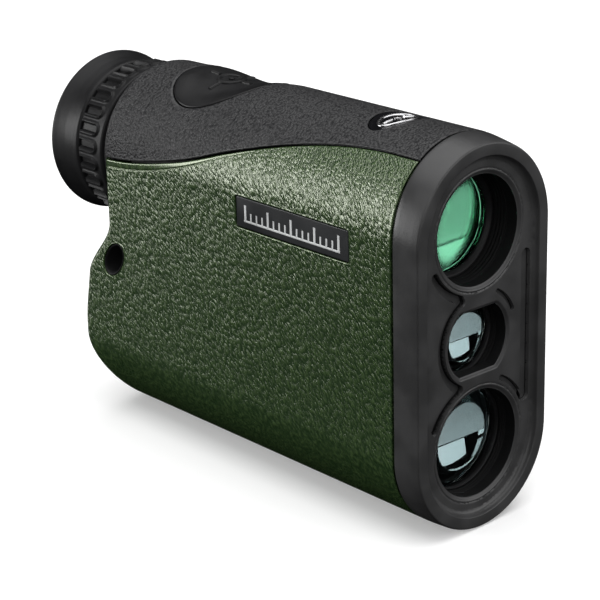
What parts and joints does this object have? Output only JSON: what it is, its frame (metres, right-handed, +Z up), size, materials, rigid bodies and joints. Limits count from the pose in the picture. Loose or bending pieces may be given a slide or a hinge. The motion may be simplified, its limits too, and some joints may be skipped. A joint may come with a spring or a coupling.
{
  "type": "laser rangefinder",
  "caption": "Compact laser rangefinder with a monocular eyepiece, laser emitter and receiver behind the front bezel, a top measure button and a screw-capped battery bay.",
  "frame": {"origin": "under the middle of the body, at the lowest point of its rounded underside", "axes": "+Z up, -Y out of the front lenses along the line of sight, -X towards the user's right-hand side"},
  "size_m": [0.033, 0.1042, 0.0724],
  "materials": {
    "green_armour": "leather grain",
    "black_armour": "fine grain",
    "bezel_black": "satin",
    "control_black": "satin",
    "inner_black": "matt",
    "badge_silver": "polished",
    "coated_glass": "coated",
    "clear_glass": "clear",
    "steel": "bright",
    "brass": "plated",
    "board_green": "solder mask",
    "chip_black": "moulded",
    "battery_wrap": "shrink wrap",
    "seal_rubber": "matt"
  },
  "bodies": {
    "housing": {"bandpass_filter": "coated_glass", "battery_spring": "steel", "battery_tube": "inner_black", "chassis_tube": "inner_black", "display_frame": "inner_black", "display_panel": "clear_glass", "emitter_lens": "clear_glass", "emitter_retaining_ring": "inner_black", "emitter_tube": "inner_black", "eyepiece_barrel": "inner_black", "eyepiece_collar": "control_black", "front_bezel": "bezel_black", "front_bulkhead": "inner_black", "half_penta_prism": "clear_glass", "lanyard_tube": "inner_black", "laser_board": "board_green", "laser_diode": "brass", "lower_armour": "green_armour", "main_board": "board_green", "measure_switch": "steel", "menu_switch": "steel", "nameplate_left": "control_black", "nameplate_right": "control_black", "objective_cell": "inner_black", "objective_front_lens": "coated_glass", "objective_rear_lens": "clear_glass", "objective_retaining_ring": "inner_black", "photodiode": "steel", "prism_carrier": "inner_black", "processor_chip": "chip_black", "rear_bulkhead": "inner_black", "rear_cover": "control_black", "rear_cover_screw_left": "steel", "rear_cover_screw_right": "steel", "receiver_board": "board_green", "receiver_lens": "clear_glass", "receiver_retaining_ring": "inner_black", "receiver_tube": "inner_black", "schmidt_prism": "clear_glass", "switch_board": "board_green", "top_armour": "black_armour", "top_badge": "badge_silver"},
    "measure_button": {"measure_button": "control_black"},
    "menu_button": {"menu_button": "control_black"},
    "diopter_ring": {"diopter_ring": "control_black"},
    "eyepiece_optics": {"eyepiece_lens_cell": "inner_black", "field_lens": "clear_glass", "eyepiece_spacer": "inner_black", "eye_lens": "clear_glass", "eyepiece_retaining_ring": "inner_black"},
    "eyecup_carrier": {"eyecup_friction_ring": "seal_rubber"},
    "eyecup": {"eyecup": "control_black"},
    "cap_carrier": {"battery_cap_seal": "seal_rubber"},
    "battery_cap": {"battery_cap": "control_black", "battery_contact": "brass"},
    "battery": {"battery": "battery_wrap"}
  },
  "joints": [
    {"name": "measure_press", "type": "slide", "parent": "housing", "child": "measure_button", "axis": [0, 0, -1], "range_m": [0, 0.0005], "stiffness_N_per_m": 1200, "springref_m": -0.0008},
    {"name": "menu_press", "type": "slide", "parent": "housing", "child": "menu_button", "axis": [-1, 0, 0], "range_m": [0, 0.0005], "stiffness_N_per_m": 1200, "springref_m": -0.0008},
    {"name": "eyepiece_focus", "type": "slide", "parent": "housing", "child": "eyepiece_optics", "axis": [0, 1, 0], "range_m": [-0.0012, 0.0012]},
    {"name": "diopter_turn", "type": "hinge", "parent": "housing", "child": "diopter_ring", "pos_m": [0, 0.04015, 0.0545], "axis": [0, 1, 0], "range_deg": [-60, 60]},
    {"name": "eyecup_extend", "type": "slide", "parent": "housing", "child": "eyecup_carrier", "axis": [0, 1, 0], "range_m": [0, 0.0045]},
    {"name": "eyecup_turn", "type": "hinge", "parent": "eyecup_carrier", "child": "eyecup", "pos_m": [0, 0.04095, 0.0545], "axis": [0, 1, 0], "range_deg": [0, 150]},
    {"name": "cap_rise", "type": "slide", "parent": "housing", "child": "cap_carrier", "axis": [0, 1, 0], "range_m": [0, 0.002]},
    {"name": "cap_turn", "type": "hinge", "parent": "cap_carrier", "child": "battery_cap", "pos_m": [0, 0.04185, 0.02], "axis": [0, 1, 0], "range_deg": [0, 720]},
    {"name": "battery_rise", "type": "slide", "parent": "housing", "child": "battery", "axis": [0, 1, 0], "range_m": [0, 0.002], "deforming": ["battery_spring"]}
  ],
  "couplings": [
    {"joint": "diopter_turn", "follows": "eyepiece_focus", "rad_per_m": 872},
    {"joint": "eyecup_turn", "follows": "eyecup_extend", "rad_per_m": 581},
    {"joint": "cap_turn", "follows": "cap_rise", "rad_per_m": 6283},
    {"joint": "battery_rise", "follows": "cap_rise", "ratio": 1}
  ]
}
